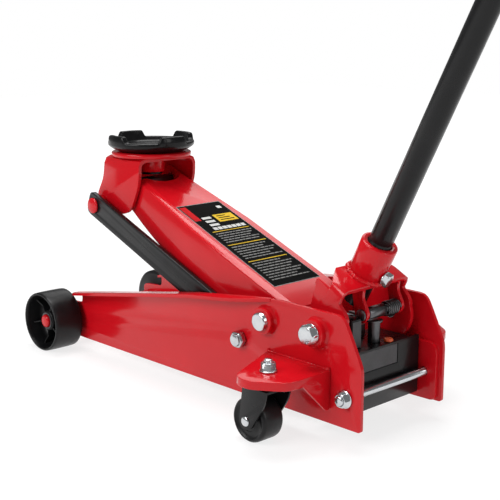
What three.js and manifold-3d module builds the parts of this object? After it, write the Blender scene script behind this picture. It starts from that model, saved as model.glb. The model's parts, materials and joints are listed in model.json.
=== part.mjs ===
// A three-ton trolley jack with its saddle half raised, in millimetres, +Z up.
//
// The parts are laid out in the jack's own plan: x runs back from the front axle towards
// the handle, y runs to the right of someone standing at the handle, and z is the height
// above the floor. The last lines move the origin to the middle of the whole at floor level.

import * as THREE from 'three';
import { mergeVertices } from 'three/addons/utils/BufferGeometryUtils.js';
import Module from 'manifold-3d';

const wasm = await Module();
wasm.setup();

// ---------------------------------------------------------------- driving dimensions

const GAP = 0.3;                        // left between parts that touch or turn in each other
const LEFT = -1;
const RIGHT = 1;
const SIDES = { left: LEFT, right: RIGHT };

const PLATE_OUT = 82.7;                 // outer face of each side plate, from the middle
const PLATE_IN = 77.7;
const PLATE_REAR = 617;
const FLANGE_OUT = 101;                 // outer edge of the flange along the plate's top

const FRONT_WHEEL_R = 47;
const FRONT_WHEEL_IN = 89;
const FRONT_WHEEL_OUT = 139;
const AXLE = [0, FRONT_WHEEL_R];        // [x, z] of each cross axis
const AXLE_R = 10;

const LIFT_PIVOT = [454, 133];
const LIFT_SHAFT_R = 12;
const ARM_LENGTH = 373;                 // between the arm's two pivots, and the links' too
const ARM_ANGLE = THREE.MathUtils.degToRad(21.3);
const ARM_HALF_WIDTH = 59;
const ARM_FRONT_HALF_WIDTH = 46;
const ARM_TOP = 24.5;                   // top face above the line through the two pivots
const SHEET = 5;                        // thickness of the pressed steel

const LINK_STEP = [-47, -35];           // from each arm pivot to the link pivot below it
const LINK_IN = 64;
const LINK_OUT = 72;
const LINK_PIN_R = 8;

const CRANK = 75;                       // from the lift pivot down to the crank pins
const CRANK_PIN_R = 9;
const CRANK_RISE = 12;                  // how far the crank pins rise at either end

const BRACKET_OUT = 55;
const BRACKET_TOP = 311;
const BRACKET_REAR = 154;
const SADDLE_PLATE_TOP = 318;
const SADDLE = [115, 0];                // [x, y] of the saddle's upright axis
const SADDLE_R = 66;

const YOKE_PIVOT = [544, 136];
const YOKE_OUT = 65;
const YOKE_SHEET = 6;
const WALL = 18;                        // how far the yoke's bent-down walls reach
const YOKE_ROUND = 34;                  // radius of each yoke arm's round end
const HANDLE_LEAN = THREE.MathUtils.degToRad(26.5);
const SLEEVE_BASE = [550.9, 198.2];      // [x, z] where the handle's axis leaves the yoke
const SLEEVE_LENGTH = 48;
const SLEEVE_R = 24;
const CLAMP_UP = 10;                    // height of the clamp bolt up the sleeve
const CLAMP_TURN = THREE.MathUtils.degToRad(10);
const CLAMP_R = 5;
const HANDLE_R = 15.5;
const HANDLE_BORE_R = 12.5;
const HANDLE_BOTTOM = -42.6;            // along the handle, from the base of the sleeve
const HANDLE_JOINT = 517;
const HANDLE_TOP = 1072;
const GRIP_LENGTH = 240;

const TIE_ROD = [592, 62];
const TIE_ROD_R = 6;

const BLOCK = { front: 518, rear: 581, half: 55, bottom: 33, top: 111 };
const COVER = { front: 580.5, rear: 584, half: 70 };
const RAM_Z = 60;
const RAM_R = 13;
const CYLINDER_FRONT = 355;
const CROSSHEAD = [288, 312];
const PULL_IN = 44;
const PULL_OUT = 50;
const ROLLER_ARM = 26.6;                // from the yoke's pivot to the pump roller
const ROLLER_RISE = THREE.MathUtils.degToRad(34.3);
const ROLLER_R = 8;
const ROLLER_HALF_WIDTH = 16.5;
const ROLLER_PIN_R = 5;
const LEFT_LUG = [-24.5, -19.5];        // the two lugs under the yoke that carry the roller pin
const RIGHT_LUG = [44, 49];
const PLUNGER_R = 8;
const VALVE_X = 528;
const VALVE_HOUSING_TOP = 127;

const KINGPIN = [519, 141.5];            // [x, distance from the middle] of each caster
const SHELF_TOP = 93;
const SHEET_SHELF = 3.5;
const CASTER_R = 29;
const CASTER_TRAIL = 18;
const CASTER_HALF_WIDTH = 17.5;
const CASTER_AXLE_R = 4;
const CHEEK_IN = CASTER_HALF_WIDTH + 2;
const CHEEK_OUT = CHEEK_IN + 2.5;

// ---------------------------------------------------------------- places worked out

const onArm = (s, n) => [
  LIFT_PIVOT[0] - s * Math.cos(ARM_ANGLE) + n * Math.sin(ARM_ANGLE),
  LIFT_PIVOT[1] + s * Math.sin(ARM_ANGLE) + n * Math.cos(ARM_ANGLE),
];
const ARM_FRONT = onArm(ARM_LENGTH, 0);
const LINK_PIVOT = [LIFT_PIVOT[0] + LINK_STEP[0], LIFT_PIVOT[1] + LINK_STEP[1]];
const LINK_FRONT = [ARM_FRONT[0] + LINK_STEP[0], ARM_FRONT[1] + LINK_STEP[1]];
const CRANK_PIN = [LIFT_PIVOT[0], LIFT_PIVOT[1] - CRANK];
const ROLLER = [
  YOKE_PIVOT[0] + ROLLER_ARM * Math.cos(ROLLER_RISE),
  YOKE_PIVOT[1] + ROLLER_ARM * Math.sin(ROLLER_RISE),
];
const HANDLE_UP = [Math.sin(HANDLE_LEAN), Math.cos(HANDLE_LEAN)];
const HANDLE_BACK = [Math.cos(HANDLE_LEAN), -Math.sin(HANDLE_LEAN)];
const onHandle = (back, up) => [
  SLEEVE_BASE[0] + back * HANDLE_BACK[0] + up * HANDLE_UP[0],
  SLEEVE_BASE[1] + back * HANDLE_BACK[1] + up * HANDLE_UP[1],
];

const withY = ([x, z], y = 0) => [x, y, z];

// A point on the clamp bolt's axis, a distance out from the middle of the sleeve.
const onClampBolt = (out) =>
  withY(onHandle(out * Math.cos(CLAMP_TURN), CLAMP_UP), out * Math.sin(CLAMP_TURN));

// ---------------------------------------------------------------- materials

const finish = (color, roughness, metalness) =>
  new THREE.MeshStandardMaterial({ color, roughness, metalness });
const redPaint = finish(0xc4121f, 0.28, 0.1);
const blackPaint = finish(0x15151a, 0.3, 0.1);
const blackIron = finish(0x1b1b1e, 0.4, 0.4);
const zinc = finish(0xc9ccd2, 0.35, 0.9);
const steel = finish(0x9a9da3, 0.3, 0.9);
const blackPlastic = finish(0x111113, 0.45, 0);
const blackRubber = finish(0x18181a, 0.8, 0);
const orangePlastic = finish(0xd8552a, 0.5, 0);

// ---------------------------------------------------------------- building solids

function enclosedVolume(points, index) {
  const corner = (i) => new THREE.Vector3().fromBufferAttribute(points, index.getX(i));
  let volume = 0;
  for (let i = 0; i < index.count; i += 3) {
    volume += corner(i).dot(corner(i + 1).cross(corner(i + 2))) / 6;
  }
  return volume;
}

// A body with its faces turned outwards, whichever way round its outline was drawn.
function solid(geometry) {
  const bare = geometry.clone();
  bare.deleteAttribute('normal');
  bare.deleteAttribute('uv');
  const merged = mergeVertices(bare, 1e-3);
  const triVerts = new Uint32Array(merged.index.array);
  if (enclosedVolume(merged.attributes.position, merged.index) < 0) triVerts.reverse();
  const vertProperties = new Float32Array(merged.attributes.position.array);
  return new wasm.Manifold(new wasm.Mesh({ numProp: 3, vertProperties, triVerts }));
}

function geometryOf(body) {
  const mesh = body.getMesh();
  const geometry = new THREE.BufferGeometry();
  geometry.setAttribute('position', new THREE.BufferAttribute(new Float32Array(mesh.vertProperties), 3));
  geometry.setIndex(new THREE.BufferAttribute(new Uint32Array(mesh.triVerts), 1));
  geometry.computeVertexNormals();
  return geometry;
}

const join = (first, ...rest) => rest.reduce((sum, next) => sum.add(next), first);
const cut = (first, ...rest) => rest.reduce((sum, next) => sum.subtract(next), first);

function box(x, y, z) {
  const [x0, x1] = x;
  const [y0, y1] = [Math.min(...y), Math.max(...y)];
  const [z0, z1] = z;
  const geometry = new THREE.BoxGeometry(x1 - x0, y1 - y0, z1 - z0);
  geometry.translate((x0 + x1) / 2, (y0 + y1) / 2, (z0 + z1) / 2);
  return solid(geometry);
}

// A closed outline from corners [a, b, radius], each rounded as far as its edges allow.
function outline(corners) {
  const shape = new THREE.Shape();
  const points = corners.map(([a, b]) => new THREE.Vector2(a, b));
  points.forEach((here, i) => {
    const before = points[(i + points.length - 1) % points.length];
    const after = points[(i + 1) % points.length];
    const room = 0.46 * Math.min(here.distanceTo(before), here.distanceTo(after));
    const radius = Math.min(corners[i][2] || 0, room);
    const start = here.clone().lerp(before, radius / here.distanceTo(before));
    const end = here.clone().lerp(after, radius / here.distanceTo(after));
    if (i === 0) shape.moveTo(start.x, start.y);
    else shape.lineTo(start.x, start.y);
    if (radius > 0) shape.quadraticCurveTo(here.x, here.y, end.x, end.y);
  });
  shape.closePath();
  return shape;
}

function extruded(corners, depth, curveSegments = 3) {
  return new THREE.ExtrudeGeometry(outline(corners), { depth, bevelEnabled: false, curveSegments });
}

// A sheet whose outline is in x and z, between two values of y.
function upright(corners, y, curveSegments) {
  const geometry = extruded(corners, Math.abs(y[1] - y[0]), curveSegments);
  geometry.rotateX(Math.PI / 2);
  geometry.translate(0, Math.max(...y), 0);
  return solid(geometry);
}

// A sheet whose outline is in x and y, between two heights.
function level(corners, z, curveSegments) {
  const geometry = extruded(corners, z[1] - z[0], curveSegments);
  geometry.translate(0, 0, z[0]);
  return solid(geometry);
}

function placedAlong(geometry, origin, axis) {
  const turn = new THREE.Quaternion().setFromUnitVectors(
    new THREE.Vector3(0, 1, 0), new THREE.Vector3(...axis).normalize());
  geometry.applyQuaternion(turn);
  geometry.translate(...origin);
  return solid(geometry);
}

// A turned part: its profile is a list of [radius, distance along the axis].
function turned(profile, origin, axis, segments = 20) {
  const closed = profile[0][0] > 0 ? [...profile, profile[0]] : profile;
  const points = closed.map(([r, h]) => new THREE.Vector2(r, h));
  return placedAlong(new THREE.LatheGeometry(points, segments), origin, axis);
}

function rod(radius, from, to, segments = 16) {
  const a = new THREE.Vector3(...from);
  const b = new THREE.Vector3(...to);
  const middle = a.clone().add(b).multiplyScalar(0.5);
  const geometry = new THREE.CylinderGeometry(radius, radius, a.distanceTo(b), segments);
  return placedAlong(geometry, middle.toArray(), b.sub(a).toArray());
}

// A rod across the jack at [x, z], between two values of y.
const crossRod = (radius, at, y, segments) =>
  rod(radius, [at[0], Math.min(...y), at[1]], [at[0], Math.max(...y), at[1]], segments);

// A turned part across the jack: distances are measured outwards on the given side.
const crossTurned = (profile, at, side, segments) =>
  turned(profile, [at[0], 0, at[1]], [0, side, 0], segments);

function ring(inner, outer, span) {
  return [[inner, span[0]], [outer, span[0]], [outer, span[1]], [inner, span[1]]];
}

// A hexagon bar of the given width across its flats, from a point along an axis.
function hexagon(acrossFlats, from, to) {
  return rod(acrossFlats / Math.sqrt(3), from, to, 6);
}

function sweptSections(sections) {
  const count = sections[0].length;
  const positions = sections.flat(2);
  const index = [];
  for (let i = 0; i + 1 < sections.length; i += 1) {
    for (let j = 0; j < count; j += 1) {
      const k = (j + 1) % count;
      const a = i * count;
      const b = a + count;
      index.push(a + j, a + k, b + k, a + j, b + k, b + j);
    }
  }
  const last = (sections.length - 1) * count;
  for (let j = 1; j + 1 < count; j += 1) {
    index.push(0, j + 1, j, last, last + j, last + j + 1);
  }
  const geometry = new THREE.BufferGeometry();
  geometry.setAttribute('position', new THREE.BufferAttribute(new Float32Array(positions), 3));
  geometry.setIndex(index);
  return solid(geometry);
}

const jack = new THREE.Group();

function part(name, body, material) {
  const mesh = new THREE.Mesh(geometryOf(body), material);
  mesh.name = name;
  jack.add(mesh);
}

// ---------------------------------------------------------------- side plates and cross rods

const plateTop = (x) => 91 + (x - 20) * 0.18;      // height of the sloping top edge

function sidePlate(side) {
  const web = upright([
    [-13, 30, 14], [22, 18.5, 10], [PLATE_REAR, 24.3, 4], [PLATE_REAR, 104.5, 8],
    [597, 144, 8], [586, 164, 14], [462, 164, 40], [318, plateTop(318), 60], [36, plateTop(36), 0],
    [36, 76, 6], [-13, 72, 8],
  ], [side * PLATE_IN, side * PLATE_OUT]);
  const flangeSlab = upright([
    [24, plateTop(24)], [24, plateTop(24) - 3.6], [318, plateTop(318) - 4.5],
    [462, 158.5], [462, 163], [318, plateTop(318)],
  ], [side * (PLATE_IN + 1), side * FLANGE_OUT]);
  const flangePlan = level([
    [23, side * 60], [463, side * 60], [463, side * (PLATE_OUT + 0.5)],
    [400, side * (FLANGE_OUT + 1), 30], [34, side * (FLANGE_OUT + 1), 8], [23, side * (PLATE_OUT + 6)],
  ], [60, 200]);
  const flange = flangeSlab.intersect(flangePlan);
  const welded = [
    rearDoubler(side), weldedBoss(LIFT_PIVOT, side, 92), weldedBoss(YOKE_PIVOT, side, 93),
  ];
  const holes = [
    [AXLE, AXLE_R], [LIFT_PIVOT, LIFT_SHAFT_R], [LINK_PIVOT, LINK_PIN_R],
    [YOKE_PIVOT, LINK_PIN_R], [TIE_ROD, TIE_ROD_R],
  ].map(([at, r]) => crossRod(r + GAP, at, [side * 70, side * 96]));
  return cut(join(web, flange, ...welded), ...holes);
}

const rearDoubler = (side) => upright(
  [[560, 24.5, 4], [611, 25.5, 8], [611, 103, 14], [560, 103, 8]], [side * 72, side * (PLATE_IN + 1)]);

const weldedBoss = (at, side, proud) => crossTurned(
  [[0, PLATE_OUT - 1], [20.5, PLATE_OUT - 1], [20.5, PLATE_OUT], [18, 86], [18, proud - 1],
    [17, proud], [0, proud]],
  at, side);

for (const [word, side] of Object.entries(SIDES)) {
  part(`side_plate_${word}`, sidePlate(side), redPaint);
}

const axleHalf = (side) => [
  [0, 132], [AXLE_R - 1.5, 132], [AXLE_R, 130.5], [AXLE_R, 128], [13.5, 128],
  [13.5, 126 + GAP], [AXLE_R, 126 + GAP],
].map(([r, y]) => [r, side * y]);
part('front_axle', turned([...axleHalf(LEFT), ...axleHalf(RIGHT).reverse()],
  [AXLE[0], 0, AXLE[1]], [0, 1, 0], 16), redPaint);
part('axle_tube', turned(ring(AXLE_R + GAP, 15, [-PLATE_IN + GAP, PLATE_IN - GAP]),
  [AXLE[0], 0, AXLE[1]], [0, 1, 0], 16), redPaint);
part('rear_tie_rod', crossRod(TIE_ROD_R, TIE_ROD, [-96, 96]), zinc);

for (const [word, side] of Object.entries(SIDES)) {
  const nutFace = side * (PLATE_OUT + GAP);
  part(`tie_rod_nut_${word}`, cut(join(
    crossRod(11.5, TIE_ROD, [nutFace, side * 85], 16),
    hexagon(17, [TIE_ROD[0], side * 84.5, TIE_ROD[1]], [TIE_ROD[0], side * 93, TIE_ROD[1]]),
  ), crossRod(TIE_ROD_R + GAP, TIE_ROD, [side * 80, side * 99])), zinc);
}

// ---------------------------------------------------------------- front wheels

const frontWheelProfile = [
  [AXLE_R + GAP, PLATE_OUT + GAP], [15, PLATE_OUT + GAP], [16, FRONT_WHEEL_IN],
  [43, FRONT_WHEEL_IN], [FRONT_WHEEL_R - 0.9, 90.5], [FRONT_WHEEL_R, 93],
  [FRONT_WHEEL_R, 135.5], [FRONT_WHEEL_R - 0.9, 138], [45, FRONT_WHEEL_OUT], [43, FRONT_WHEEL_OUT],
  [42, 137], [39.5, 113], [36, 109], [19, 109], [16, 112], [15, 126], [AXLE_R + GAP, 126],
];
for (const [word, side] of Object.entries(SIDES)) {
  part(`front_wheel_${word}`, crossTurned(frontWheelProfile, AXLE, side, 32), blackPlastic);
}

// ---------------------------------------------------------------- lift shaft, link bolts and yoke bolts

part('lift_shaft', turned([
  [0, -98], [LIFT_SHAFT_R - 1.5, -98], [LIFT_SHAFT_R, -96.5], [LIFT_SHAFT_R, 96.5],
  [LIFT_SHAFT_R - 1.5, 98], [0, 98],
], [LIFT_PIVOT[0], 0, LIFT_PIVOT[1]], [0, 1, 0]), zinc);

// A bolt through plate and link, with a shoulder that fills the space between them.
function linkBolt(side) {
  return join(
    crossRod(LINK_PIN_R, LINK_PIVOT, [side * 61.5, side * 96]),
    crossRod(12, LINK_PIVOT, [side * 60.5, side * (LINK_IN - GAP)]),
    crossRod(14, LINK_PIVOT, [side * (LINK_OUT + GAP), side * (PLATE_IN - GAP)]),
  );
}

function yokeBolt(side) {
  const [x, z] = YOKE_PIVOT;
  return join(
    crossRod(LINK_PIN_R, YOKE_PIVOT, [side * 56, side * 96]),
    crossRod(14, YOKE_PIVOT, [side * (YOKE_OUT + GAP), side * (PLATE_IN - GAP)]),
    crossRod(13, YOKE_PIVOT, [side * 93.3, side * 95]),
    hexagon(23, [x, side * 94.5, z], [x, side * 104.5, z]),
  );
}

for (const [word, side] of Object.entries(SIDES)) {
  part(`link_bolt_${word}`, linkBolt(side), zinc);
  part(`link_nut_${word}`, cut(
    hexagon(20, [LINK_PIVOT[0], side * (PLATE_OUT + GAP), LINK_PIVOT[1]],
      [LINK_PIVOT[0], side * 93.5, LINK_PIVOT[1]]),
    crossRod(LINK_PIN_R + GAP, LINK_PIVOT, [side * 80, side * 99])), zinc);
  part(`yoke_bolt_${word}`, yokeBolt(side), zinc);
}

// ---------------------------------------------------------------- lift arm

// One cross-section of the arm at a distance s along it: an upside-down channel whose
// top corners are bent over at a slant.
function armSection(s, half, top, bend) {
  const bottom = -110;
  return [
    [-half, bottom], [half, bottom], [half, top - bend * 0.6], [half - bend, top],
    [-half + bend, top], [-half, top - bend * 0.6],
  ].map(([y, n]) => {
    const [x, z] = onArm(s, n);
    return [x, y, z];
  });
}

function liftArm() {
  const taper = (rear, front, inset, top, bend) => sweptSections([
    armSection(rear, ARM_HALF_WIDTH - inset, top, bend),
    armSection(200, ARM_HALF_WIDTH - inset, top, bend),
    armSection(345, ARM_FRONT_HALF_WIDTH - inset, top, bend),
    armSection(front, ARM_FRONT_HALF_WIDTH - inset, top, bend),
  ]);
  const outer = taper(-60, 420, 0, ARM_TOP, 8);
  const inner = taper(-17, 440, SHEET, ARM_TOP - SHEET, 6);
  const lug = CRANK * Math.cos(ARM_ANGLE);
  const lugBack = CRANK * Math.sin(ARM_ANGLE);
  const sideCorners = [
    [-22, ARM_TOP + 1, 9], [ARM_LENGTH - 18, ARM_TOP + 1, 6], [ARM_LENGTH + 19, 19, 16],
    [ARM_LENGTH + 19, -19, 17], [300, -36, 30], [240, -42, 30], [26, -45, 20],
    [-lugBack + 17, -lug - 18, 16], [-lugBack - 17, -lug - 14, 16], [-28, -22, 12],
  ].map(([s, n, r]) => [...onArm(s, n), r]);
  const side = upright(sideCorners, [-70, 70]);
  const frontArc = rod(44, [ARM_FRONT[0], 0, ARM_FRONT[1]],
    [ARM_FRONT[0] + 60 * Math.sin(ARM_ANGLE), 0, ARM_FRONT[1] + 60 * Math.cos(ARM_ANGLE)], 40);
  const aheadOfTop = upright([[343, 8], [430, 8], [430, 60], [343, 60]].map(([s, n]) => onArm(s, n)),
    [-ARM_FRONT_HALF_WIDTH + SHEET, ARM_FRONT_HALF_WIDTH - SHEET]);
  const betweenLugs = box([300, 560], [-ARM_HALF_WIDTH + SHEET, ARM_HALF_WIDTH - SHEET], [0, 116]);
  const shell = cut(outer.intersect(side), inner, frontArc, aheadOfTop, betweenLugs);
  const tube = crossRod(18, LIFT_PIVOT, [-55, 55]);
  const cranks = Object.values(SIDES).map((way) => crossRod(CRANK_PIN_R, CRANK_PIN, [way * 43, way * 61]));
  return cut(join(shell, tube, ...cranks),
    crossRod(LIFT_SHAFT_R + GAP, LIFT_PIVOT, [-80, 80]),
    crossRod(9 + GAP, ARM_FRONT, [-80, 80]));
}

part('lift_arm', liftArm(), redPaint);
part('arm_front_pin',
  crossRod(9, ARM_FRONT, [-BRACKET_OUT + SHEET + GAP, BRACKET_OUT - SHEET - GAP]), steel);

// ---------------------------------------------------------------- parallel links

function parallelLink(side) {
  const along = (s, n) => [
    LINK_PIVOT[0] - s * Math.cos(ARM_ANGLE) + n * Math.sin(ARM_ANGLE),
    LINK_PIVOT[1] + s * Math.sin(ARM_ANGLE) + n * Math.cos(ARM_ANGLE),
  ];
  const corners = [
    [-18, 18, 16], [ARM_LENGTH + 15, 18, 7], [ARM_LENGTH + 15, -17, 12], [-18, -18, 16],
  ].map(([s, n, r]) => [...along(s, n), r]);
  const holes = [LINK_PIVOT, LINK_FRONT].map((at) => crossRod(LINK_PIN_R + GAP, at, [side * 60, side * 80]));
  return cut(upright(corners, [side * LINK_IN, side * LINK_OUT]), ...holes);
}

for (const [word, side] of Object.entries(SIDES)) {
  part(`parallel_link_${word}`, parallelLink(side), blackPaint);
}

// ---------------------------------------------------------------- saddle bracket and saddle

function saddleBracket() {
  const [px, pz] = LINK_FRONT;
  const wallCorners = [
    [69, BRACKET_TOP, 8], [64, 276, 12], [px - 12, pz + 17, 10], [px - 15, pz - 8, 12],
    [px + 12, pz - 15, 10], [122, 226.5, 12], [136, 239, 12],
    [BRACKET_REAR, 277, 14], [BRACKET_REAR, BRACKET_TOP, 8],
  ];
  const walls = Object.values(SIDES).map((side) =>
    upright(wallCorners, [side * (BRACKET_OUT - SHEET), side * BRACKET_OUT]));
  const channel = (half, top, bend, x) => sweptSections([x[0], x[1]].map((at) => [
    [-half, 290], [half, 290], [half, top - bend], [half - bend * 0.3, top - bend * 0.3],
    [half - bend, top], [-half + bend, top], [-half + bend * 0.3, top - bend * 0.3], [-half, top - bend],
  ].map(([y, z]) => [at, y, z])));
  const web = cut(channel(BRACKET_OUT, BRACKET_TOP, 11, [68, BRACKET_REAR]),
    channel(BRACKET_OUT - SHEET, BRACKET_TOP - SHEET, 8, [60, 170]));
  const keep = channel(BRACKET_OUT, BRACKET_TOP, 11, [20, 180]);
  const lower = box([20, 180], [-60, 60], [200, 291]);
  const frontWall = box([68.5, 73.5], [-BRACKET_OUT + 1, BRACKET_OUT - 1], [261, BRACKET_TOP - 1]);
  const boss = rod(20, [SADDLE[0], 0, 287], [SADDLE[0], 0, BRACKET_TOP - 1]);
  return cut(join(join(...walls, web, frontWall).intersect(join(keep, lower)), boss),
    rod(12.6, [SADDLE[0], 0, 280], [SADDLE[0], 0, 320]),
    crossRod(LINK_PIN_R + GAP, LINK_FRONT, [-60, 60]));
}

part('saddle_bracket', saddleBracket(), redPaint);
part('saddle_plate', turned([
  [12.6, BRACKET_TOP + GAP], [60, BRACKET_TOP + GAP], [61, 312.3], [61, SADDLE_PLATE_TOP - 2],
  [59, SADDLE_PLATE_TOP], [12.6, SADDLE_PLATE_TOP],
], [...SADDLE, 0], [0, 0, 1], 28), redPaint);

for (const [word, side] of Object.entries(SIDES)) {
  part(`link_pin_${word}`, join(
    crossRod(LINK_PIN_R, LINK_FRONT, [side * 51, side * 73]),
    crossRod(14, LINK_FRONT, [side * (BRACKET_OUT + GAP), side * (LINK_IN - GAP)]),
    crossTurned([[0, LINK_OUT + GAP], [12, LINK_OUT + GAP], [12, 74.5], [10.5, 76], [0, 76]],
      LINK_FRONT, side, 16),
  ), redPaint);
}

// The saddle: a dished iron cup with four raised lugs on its rim, and a stem below.
const LUG_TURN = THREE.MathUtils.degToRad(-6.3);
const LUG_HALF = THREE.MathUtils.degToRad(20);
const LUG_TOP = 344;
const RIM_TOP = 334.5;
const CUP_FLOOR = 325;

function saddleCup() {
  const cup = turned([
    [0, 282], [12, 282], [12, SADDLE_PLATE_TOP + GAP], [48, SADDLE_PLATE_TOP + GAP], [60, 323.5],
    [SADDLE_R - 1, 327], [SADDLE_R, 330], [SADDLE_R, RIM_TOP], [57, RIM_TOP], [54, 328],
    [40, CUP_FLOOR], [0, CUP_FLOOR],
  ], [...SADDLE, 0], [0, 0, 1], 32);
  const lugRing = turned([
    [55, 329], [SADDLE_R, 329], [SADDLE_R, LUG_TOP - 1.5], [SADDLE_R - 1.5, LUG_TOP],
    [58.5, LUG_TOP], [57, LUG_TOP - 1.5],
  ], [...SADDLE, 0], [0, 0, 1], 32);
  const reach = SADDLE_R + 20;
  const wedges = [0, 1, 2, 3].map((i) => {
    const middle = LUG_TURN + i * Math.PI / 2;
    const corner = (angle) => [SADDLE[0] + reach * Math.cos(angle), reach * Math.sin(angle)];
    return level([[SADDLE[0], 0], corner(middle - LUG_HALF), corner(middle + LUG_HALF)], [320, 350]);
  });
  return join(cup, ...wedges.map((wedge) => lugRing.intersect(wedge)));
}

part('saddle', saddleCup(), blackIron);
part('saddle_clip', turned(ring(12 + GAP, 16, [282.5, 286.2]), [...SADDLE, 0], [0, 0, 1], 16), blackIron);

// ---------------------------------------------------------------- power unit

// The block's body with its wider rear cover, the release valve's housing and a check-valve
// housing on top, and the trunnions that hold it between the side plates.
function pumpBlock() {
  const { front, rear, half, bottom, top } = BLOCK;
  const body = upright([
    [front, bottom, 5], [rear, bottom], [rear, top], [front, top, 5],
  ], [-half, half]);
  const cover = box([COVER.front, COVER.rear], [-COVER.half, COVER.half], [bottom, top]);
  const valveHousing = level([
    [front + 1, -16, 5], [540, -16, 5], [540, 16, 5], [front + 1, 16, 5],
  ], [top - 1, VALVE_HOUSING_TOP]);
  const checkHousing = level([
    [545, -48, 4], [570, -48, 4], [570, -29, 4], [545, -29, 4],
  ], [top - 1, 148]);
  const trunnions = crossRod(9, [548, RAM_Z], [-PLATE_IN + GAP, PLATE_IN - GAP]);
  return cut(join(body, cover, valveHousing, checkHousing, trunnions),
    box([COVER.rear - 1.5, COVER.rear + 5], [-COVER.half + 4, 27], [82, 108]),
    rod(PLUNGER_R + GAP, [ROLLER[0], 0, 58], [ROLLER[0], 0, top + 10]),
    rod(6 + GAP, [VALVE_X, 0, 88], [VALVE_X, 0, VALVE_HOUSING_TOP + 10]));
}

part('pump_block', pumpBlock(), blackPaint);
part('ram_cylinder', turned([
  [RAM_R + GAP, CYLINDER_FRONT], [24, CYLINDER_FRONT], [26, CYLINDER_FRONT + 2], [26, BLOCK.front - GAP],
  [20, BLOCK.front - GAP], [20, CYLINDER_FRONT + 17], [RAM_R + GAP, CYLINDER_FRONT + 17],
], [0, 0, RAM_Z], [1, 0, 0]), blackPaint);
part('oil_tank', turned([
  [26 + GAP, 402], [31, 402], [34, 405], [34, BLOCK.front - GAP], [26 + GAP, BLOCK.front - GAP],
], [0, 0, RAM_Z], [1, 0, 0]), blackPaint);
part('filler_plug', turned([
  [0, BLOCK.top + GAP], [6.2, BLOCK.top + GAP], [6.2, 114], [5, 115.6], [0, 116],
], [576.8, 15.8, 0], [0, 0, 1], 20), orangePlastic);

part('ram', join(
  turned([
    [0, CROSSHEAD[0] + 2], [RAM_R, CROSSHEAD[0] + 2], [RAM_R, 432], [19.5, 432], [19.5, 443], [0, 443],
  ], [0, 0, RAM_Z], [1, 0, 0], 16),
  box(CROSSHEAD, [-PULL_IN + GAP, PULL_IN - GAP], [RAM_Z - 17, RAM_Z + 17]),
  crossRod(8, [(CROSSHEAD[0] + CROSSHEAD[1]) / 2, RAM_Z], [-52.5, 52.5], 20),
), steel);

function pullLink(side) {
  const middle = (CROSSHEAD[0] + CROSSHEAD[1]) / 2;
  const slotLow = CRANK_PIN[1];
  const slotHigh = CRANK_PIN[1] + CRANK_RISE;
  const reach = CRANK_PIN_R + 1.5;
  const bar = upright([
    [middle - 16, RAM_Z - 15, 10], [CRANK_PIN[0] + 18, slotLow - 18, 12],
    [CRANK_PIN[0] + 18, slotHigh + 18, 12], [CRANK_PIN[0] - 20, slotHigh + 18, 12],
    [middle - 16, RAM_Z + 15, 10],
  ], [side * PULL_IN, side * PULL_OUT]);
  const slot = join(
    crossRod(reach, [CRANK_PIN[0], slotLow], [side * 40, side * 55]),
    crossRod(reach, [CRANK_PIN[0], slotHigh], [side * 40, side * 55]),
    box([CRANK_PIN[0] - reach, CRANK_PIN[0] + reach], [side * 40, side * 55], [slotLow, slotHigh]),
  );
  return cut(bar, slot, crossRod(8 + GAP, [middle, RAM_Z], [side * 40, side * 55]));
}

for (const [word, side] of Object.entries(SIDES)) {
  part(`pull_link_${word}`, pullLink(side), steel);
}

// The pump plunger under its roller, and the release valve's spindle with its forked top.
const PLUNGER_TOP = ROLLER[1] - ROLLER_R - 2;
part('pump_plunger', turned([
  [0, 84], [PLUNGER_R, 84], [PLUNGER_R, PLUNGER_TOP - 2.6], [11, PLUNGER_TOP - 2.6], [11, PLUNGER_TOP],
  [0, PLUNGER_TOP],
], [ROLLER[0], 0, 0], [0, 0, 1], 16), steel);
part('release_valve', cut(turned([
  [0, 90], [6, 90], [6, VALVE_HOUSING_TOP + GAP], [10, VALVE_HOUSING_TOP + GAP], [10, 142], [0, 142],
], [VALVE_X, 0, 0], [0, 0, 1], 16), box([VALVE_X - 12, VALVE_X + 12], [-4, 4], [132, 150])), steel);

// ---------------------------------------------------------------- handle yoke, sleeve and handle

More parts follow.
